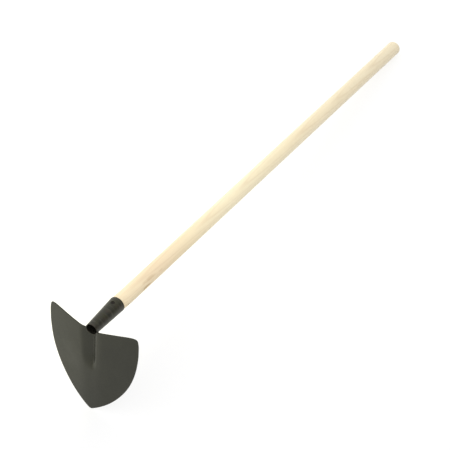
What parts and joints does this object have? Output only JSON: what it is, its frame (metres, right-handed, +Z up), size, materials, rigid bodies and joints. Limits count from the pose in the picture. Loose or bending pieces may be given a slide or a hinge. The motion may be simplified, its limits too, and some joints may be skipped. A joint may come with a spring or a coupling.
{
  "type": "garden hoe",
  "caption": "Hand hoe with a heart-shaped pointed steel blade, a tapered tube socket and a straight round wooden handle.",
  "frame": {"origin": "bottom centre of the whole hoe's box, on the ground it stands on with its blade tip and the free end of its handle", "axes": "+Z up, +Y from the blade towards the free end of the handle, which falls by 8.98 degrees, +X across the blade; the hoe is made to be symmetric about the plane X = 0"},
  "size_m": [0.1782, 1.1267, 0.1998],
  "materials": {
    "head_paint": "satin",
    "weld_paint": "satin",
    "handle_wood": "matte",
    "screw_black": "satin"
  },
  "bodies": {
    "root": {"blade": "head_paint", "socket": "head_paint", "weld_bead": "weld_paint", "handle": "handle_wood", "fixing_screw": "screw_black"}
  },
  "joints": []
}
